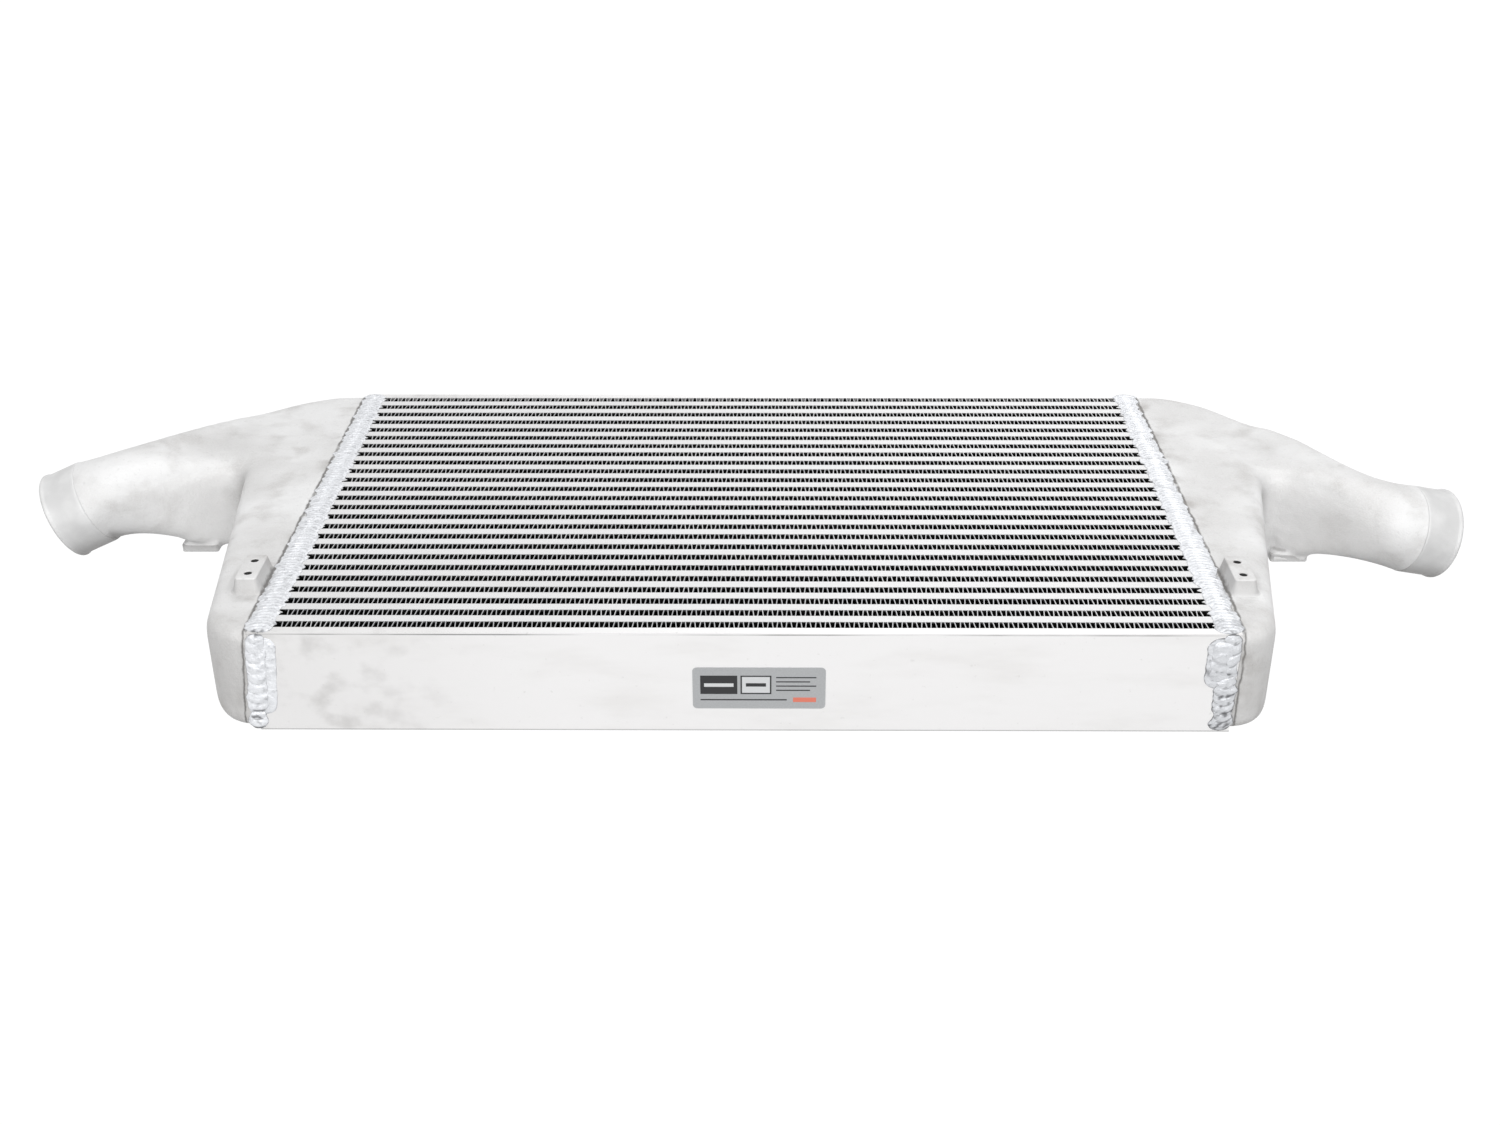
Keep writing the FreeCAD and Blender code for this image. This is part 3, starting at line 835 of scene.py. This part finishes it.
def tapped_block(name, place, half, levels, holes, radius, depth, out, limit=0.0, around=40):
    """A block whose flat face has its middle at place.

    levels holds (distance below the face, growth) of each outline, in mm, and holes the y of each
    hole. out is +1 for a face that looks up and -1 for one that looks down. No point comes nearer
    to the middle plane of the part than limit.
    """
    rings = []
    for down, grow in levels:
        outline = rounded_ring(half[0] + grow * MM, half[1] + grow * MM, (2 + grow) * MM)
        rings.append(np.column_stack([outline, np.full(len(outline), -down * MM)]))
    count = len(rings[0])
    points = np.concatenate(rings)
    work = bmesh.new()
    verts = [work.verts.new(p) for p in points.tolist()]
    for face in grid_faces(len(rings), count, close_columns=True).tolist():
        work.faces.new([verts[i] for i in face])
    work.faces.new(verts[-count:])
    rims = [[verts[i], verts[(i + 1) % count]] for i in range(count)]
    profile = tapped_profile(depth, radius)
    angle = np.arange(around) / around * 2 * math.pi
    for middle in holes:
        r, down = profile.T
        hole = np.stack([r[:, None] * np.cos(angle), middle + r[:, None] * np.sin(angle),
                         np.repeat(-down[:, None], around, axis=1)], axis=2).reshape(-1, 3)
        drilled = [work.verts.new(p) for p in hole.tolist()]
        for face in grid_faces(len(profile), around, close_columns=True).tolist():
            work.faces.new([drilled[i] for i in face])
        work.faces.new(drilled[-around:])
        rims += [[drilled[i], drilled[(i + 1) % around]] for i in range(around)]
    edges = [work.edges.get(pair) or work.edges.new(pair) for pair in rims]
    bmesh.ops.triangle_fill(work, edges=edges, use_beauty=True, use_dissolve=False)
    bmesh.ops.recalc_face_normals(work, faces=work.faces)
    mesh = bpy.data.meshes.new(name)
    work.to_mesh(mesh)
    work.free()
    co = np.empty(len(mesh.vertices) * 3, np.float32)
    mesh.vertices.foreach_get("co", co)
    co = co.reshape(-1, 3) * [1, 1, out] + place
    co[:, 0] = np.maximum(np.abs(co[:, 0]), limit) * np.sign(place[0])
    mesh.vertices.foreach_set("co", co.astype(np.float32).ravel())
    if out < 0:
        mesh.flip_normals()
    mesh.update()
    mesh.shade_smooth()
    mesh.set_sharp_from_angle(angle=math.radians(32))
    # Painted shade: the sides are greyed down to the foot, and the holes blackened from the thread down
    down = -points[:, 2] / MM
    sides = 0.6 * smoothstep(0.3, 1.0, down) * smoothstep(12, 9, down)
    hole_shade = np.tile(np.repeat(np.arange(len(profile)) >= 2, around), len(holes)) * 2.0
    carry(mesh, "hollow", np.concatenate([sides, hole_shade]))
    piece = bpy.data.objects.new(name, mesh)
    bpy.context.scene.collection.objects.link(piece)
    return dress(piece, finishes["cast"], "cast_aluminium")


BOSS_LEVELS = [(0, -0.6), (0.12, -0.2), (0.45, 0.05), (1.0, 0.2), (9.0, 2.4), (10.0, 3.1), (10.7, 4.2),
               (11.05, 5.6), (11.3, 6.6), (13.0, 6.0)]
LUG_LEVELS = [(0, -0.5), (0.15, -0.15), (0.5, 0.1), (5.6, 0.15), (6.2, -0.6)]
for side in ("right", "left"):
    boss, lug = mounts["bracket_boss_" + side], mounts["foot_lug_" + side]
    reach = boss["dims"]["spacing_y_mm"] * MM / 2
    tapped_block("bracket_boss_" + side, boss["pos_m"], half=(7 * MM, 17 * MM), levels=BOSS_LEVELS,
                 holes=(-reach, reach), radius=boss["dims"]["hole_r_mm"] * MM, depth=10.5 * MM, out=1,
                 limit=SEAM + 1.6 * MM)
    tapped_block("foot_lug_" + side, lug["pos_m"], half=(14 * MM, 12 * MM), levels=LUG_LEVELS,
                 holes=(0,), radius=lug["dims"]["r_mm"] * MM, depth=5.8 * MM, out=-1)
print("blocks done")

# %% [markdown]
# A weld bead is a flattened round rod laid along the seam. Its ring of points is an ellipse, the
# lower half sunk in the metal. Along the way the ring's width wanders, and its crown rises and falls
# with the ripples of the puddle, which bulge the way the welder went. A second value on each point,
# called soot, says how dark the metal is there.

# %% Weld beads
RING = 28           # points round a bead
RIPPLE_POINTS = 7   # rings a ripple
FOOT = 0.5 * MM     # how deep a bead is sunk in the metal


def bead(name, start, along, across, out, length, width, crown, ripple, depth, seed, lumps, soot_at,
         dark, drift=0.0):
    """Ring angle t, way v: across*(drift*v + w cos t) + out*(crown(v, t) sin t) + along*v.

    depth is the share of the crown that a ripple takes and lumps a slower unevenness on top of it.
    soot_at lists dark spots as (share of the way, reach), and dark scales the rest of the soot.
    """
    ways = max(int(length / (ripple / RIPPLE_POINTS)), 60)
    v = np.linspace(0, length, ways)[:, None]
    t = (np.arange(RING) / RING * 2 * math.pi)[None, :]
    start, along, across, out = (np.array(w, float) for w in (start, along, across, out))
    line = start + v * (along + drift * across)
    loose = min(depth * 4, 1.0)  # a flat bead runs straight
    wander = unevenness(line, 0.014, seed) * 0.5 * MM * loose
    spread = unevenness(line, 0.007, seed + 1) * 0.10 * loose
    spread = 1 + spread + 0.4 * lumps * unevenness(line, 0.022, seed + 2)
    to_end = np.minimum(v, length - v)
    ends = np.sqrt(1 - (1 - np.clip(to_end / (0.42 * width), 0, 1)) ** 2)
    w = width / 2 * spread[:, None] * (0.06 + 0.94 * ends)
    bow = (v + 0.32 * width * np.cos(t) ** 2 + wander[:, None]) / ripple
    puddle = 1 - depth * (0.5 + 0.5 * np.cos(2 * math.pi * bow)) ** 3
    upper = np.sin(t) > 0
    height = np.where(upper, crown * puddle * ends, FOOT)
    spots = (line[:, None, :] + across * (w * np.cos(t))[:, :, None]).reshape(-1, 3)
    rough = unevenness(spots, 0.005, seed + 3).reshape(w.shape[0], -1)
    big = unevenness(spots, 0.016, seed + 4).reshape(w.shape[0], -1)
    height = height * (1 + 0.10 * loose * rough + lumps * big)
    height = np.where(upper, np.clip(height, 0, crown), height)
    points = (line[:, None, :] + across * (w * np.cos(t) + wander[:, None])[:, :, None]
              + out * (height * np.sin(t))[:, :, None])
    faces = grid_faces(ways, RING, close_columns=True).tolist()
    faces += [list(range(RING))[::-1], list(range((ways - 1) * RING, ways * RING))]
    piece = mesh_piece(name, points.reshape(-1, 3), faces)
    groove = np.clip((1 - puddle) / max(depth, 0.01) - 0.75, 0, 1) * 2.0 * (rough > -0.6)
    edge = 0.9 * smoothstep(0.90, 0.99, np.abs(np.cos(t))) * (0.3 + 0.7 * smoothstep(-0.8, 0.6, rough))
    rim = 0.9 * (1 - smoothstep(0.5 * MM, 1.2 * MM, to_end))
    soot = (groove + edge + rim + 0.5 * smoothstep(0.9, 1.7, rough)) * dark
    for place, reach in soot_at:
        soot = soot + np.exp(-((v - place * length) / reach) ** 2) * (0.2 + 0.8 * (rough > 0.2))
    carry(piece.data, "soot", np.clip(soot, 0, 1))
    return outward(piece)


def joined(name, pieces):
    """Several pieces as one."""
    with bpy.context.temp_override(active_object=pieces[0], selected_editable_objects=pieces):
        bpy.ops.object.join()
    pieces[0].name = name
    pieces[0].data.name = name
    return pieces[0]


# Front beads, lengths in mm: distance of the middle from the seam, start and end below the plate's
# upper edge, width, crown, ripple, depth, lumps, seed, dark spots and darkness, as in bead above
FRONT_BEADS = {
    "left": [(9.4, 4, 62, 18, 0.35, 30.0, 0.05, 0.0, 71, (), 0.3),
             (5.4, 1, 61.5, 13, 1.5, 7.5, 0.35, 0.04, 33, ((0.0, 2.5), (0.95, 0.8)), 0.6),
             (5.8, 59, 73, 13, 1.4, 7.0, 0.3, 0.15, 52, ((0.35, 1.2), (0.95, 1.5)), 1.0)],
    "right": [(11.0, 3, 41, 20, 0.6, 30.0, 0.05, 0.02, 81, ((0.0, 2.5),), 0.9),
              (5.4, 0, 42, 11, 1.4, 8.0, 0.3, 0.12, 21, ((0.0, 2.5), (0.7, 1.0), (0.98, 1.5)), 1.2),
              (10.5, 5, 36, 15, 1.5, 17.0, 0.12, 0.03, 25, ((0.75, 1.5),), 0.7),
              (6.2, 34, 73, 14, 1.4, 6.5, 0.4, 0.15, 29, ((0.3, 1.2), (0.65, 2.0), (0.9, 3.5)), 1.4)]}
SLANT = {"left": 0.095, "right": 0.0}  # how far the front beads lean outward on their way down
EDGE = 0.3 * MM  # how far over the plate's upper edge the beads down its face begin
SEEDS = {"left": (8, 57), "right": (3, 44)}  # for the upper and the back bead


def seam_welds(side):
    sign = 1 if side == "right" else -1
    node = "weld_bead_" + side
    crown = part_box(node)[1].z - TOP
    across, down = (sign, 0, 0), (0, 0, -1)
    over_seed, back_seed = SEEDS[side]
    place = (sign * (SEAM - 6.6 * MM), FRONT, TOP)
    pieces = [bead(node + "_over", place, (0, 1, 0), across, (0, 0, 1), length=BACK - FRONT,
                   width=17.6 * MM, crown=crown * 0.7, ripple=3.8 * MM, depth=0.6, seed=over_seed,
                   lumps=0.2, soot_at=((0.0, 2.0 * MM), (1.0, 2.0 * MM)), dark=0.45)]
    for number, (inset, start, stop, width, rise, *rest) in enumerate(FRONT_BEADS[side]):
        ripple, depth, lumps, seed, spots, dark = rest
        x = SEAM - (inset - SLANT[side] * start) * MM
        place = (sign * x, FRONT, TOP + EDGE - start * MM)
        spots = [(share, reach * MM) for share, reach in spots]
        pieces.append(bead(f"{node}_front_{number}", place, down, across, (0, -1, 0),
                           length=(stop - start) * MM, width=width * MM, crown=min(rise * MM, crown),
                           ripple=ripple * MM, depth=depth, seed=seed, lumps=lumps, soot_at=spots,
                           dark=dark, drift=SLANT[side]))
    place = (sign * (SEAM - 6 * MM), BACK, TOP + EDGE)
    pieces.append(bead(node + "_back", place, down, across, (0, 1, 0), length=TOP, width=14 * MM,
                       crown=crown * 0.9, ripple=6 * MM, depth=0.45, seed=back_seed, lumps=0.12,
                       soot_at=((0.0, 2.5 * MM), (0.97, 2.5 * MM)), dark=0.8))
    return dress(joined("weld_" + side, pieces), finishes["weld"], "weld_aluminium", node)


for side in ("right", "left"):
    seam_welds(side)
print("welds done")
